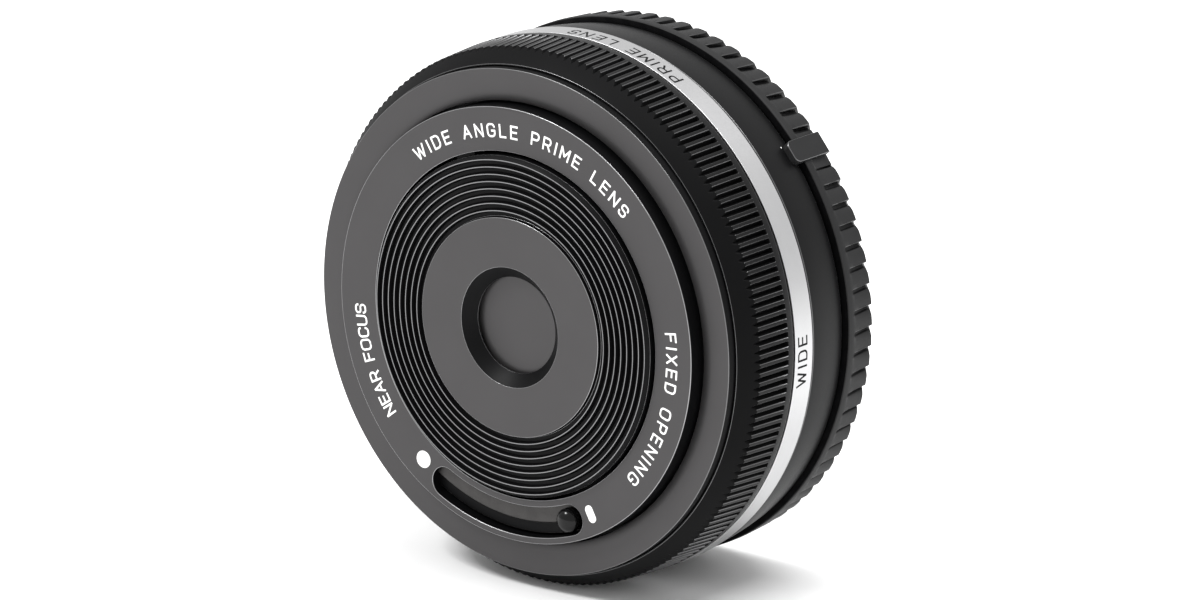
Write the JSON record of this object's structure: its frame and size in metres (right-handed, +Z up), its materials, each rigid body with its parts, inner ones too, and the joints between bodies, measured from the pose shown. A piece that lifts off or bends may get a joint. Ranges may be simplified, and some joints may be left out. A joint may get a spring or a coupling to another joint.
{
  "type": "prime camera lens",
  "caption": "Flat pancake camera lens with a fixed focal length, a knob-driven front cover blade, a knurled grip, a silver band and a ribbed rear cap.",
  "frame": {"origin": "on the optical axis, at the centre of the rear cap's flat back face", "axes": "+Y runs along the optical axis from the front of the lens to its cap, so the lens looks along -Y; +Z is up as the lens stands on its rim with the knob slot at the bottom; +X is to the right seen from the front"},
  "size_m": [0.0602, 0.0283, 0.0602],
  "materials": {
    "anodised_grey": "satin grey anodised, fine turned grain",
    "anodised_black": "satin black anodised, knurled",
    "satin_silver": "satin silver anodised with bright chamfers",
    "black_plastic": "black moulded polycarbonate",
    "cap_plastic": "dark grey moulded plastic, fine grain",
    "gloss_black": "glossy black",
    "blade_steel": "thin dark grey blackened blade",
    "glass": "coated optical glass",
    "steel": "machined steel",
    "chrome": "polished plated metal",
    "copper": "enamelled copper winding",
    "gold": "gold plated contacts",
    "board_green": "green solder mask",
    "flex_amber": "amber polyimide film"
  },
  "bodies": {
    "lens_body": {"front_plate": "anodised_grey", "name_ring": "anodised_grey", "front_bezel": "anodised_grey", "cover_base": "black_plastic", "blade_pivot": "steel", "grip_ring": "anodised_black", "silver_band": "satin_silver", "rear_barrel": "black_plastic", "main_frame": "black_plastic", "base_screw_1": "steel", "base_screw_2": "steel", "base_screw_3": "steel", "cell_screw_1": "steel", "cell_screw_2": "steel", "cell_screw_3": "steel", "mount_screw_1": "steel", "mount_screw_2": "steel", "mount_screw_3": "steel", "mount_screw_4": "steel", "front_cell": "black_plastic", "front_retainer": "black_plastic", "lens_element_1": "glass", "front_spacer": "black_plastic", "lens_element_2": "glass", "aperture_stop": "black_plastic", "rear_cell": "black_plastic", "lens_element_6": "glass", "rear_retainer": "black_plastic", "guide_shaft_upper": "chrome", "guide_shaft_lower": "chrome", "motor_yoke_upper": "steel", "motor_yoke_lower": "steel", "motor_magnet_upper": "chrome", "motor_magnet_lower": "chrome", "position_sensor": "flex_amber", "main_board": "board_green", "contact_flex": "flex_amber", "contact_block": "black_plastic", "contact_pins": "gold", "bayonet_mount": "chrome", "rear_baffle": "black_plastic"},
    "cover_ring": {"cover_ring": "black_plastic", "cover_knob": "gloss_black"},
    "cover_blade": {"cover_blade": "blade_steel"},
    "focus_group": {"focus_carriage": "black_plastic", "lens_element_3": "glass", "lens_element_4": "glass", "lens_element_5": "glass", "carriage_retainer": "black_plastic", "position_scale": "steel", "motor_coil_upper": "copper", "motor_coil_lower": "copper"},
    "rear_cap": {"rear_cap": "cap_plastic"}
  },
  "joints": [
    {"name": "cover_turn", "type": "hinge", "parent": "lens_body", "child": "cover_ring", "pos_m": [0, 0, 0], "axis": [0, 1, 0], "range_deg": [0, 45]},
    {"name": "blade_swing", "type": "hinge", "parent": "lens_body", "child": "cover_blade", "pos_m": [0, 0, 0.0113], "axis": [0, 1, 0], "range_deg": [0, 59.85]},
    {"name": "focus_slide", "type": "slide", "parent": "lens_body", "child": "focus_group", "axis": [0, -1, 0], "range_m": [0, 0.0015]},
    {"name": "cap_twist", "type": "hinge", "parent": "lens_body", "child": "rear_cap", "pos_m": [0, 0, 0], "axis": [0, 1, 0], "range_deg": [0, 60]}
  ],
  "couplings": [
    {"joint": "blade_swing", "follows": "cover_turn", "ratio": 1.33}
  ]
}
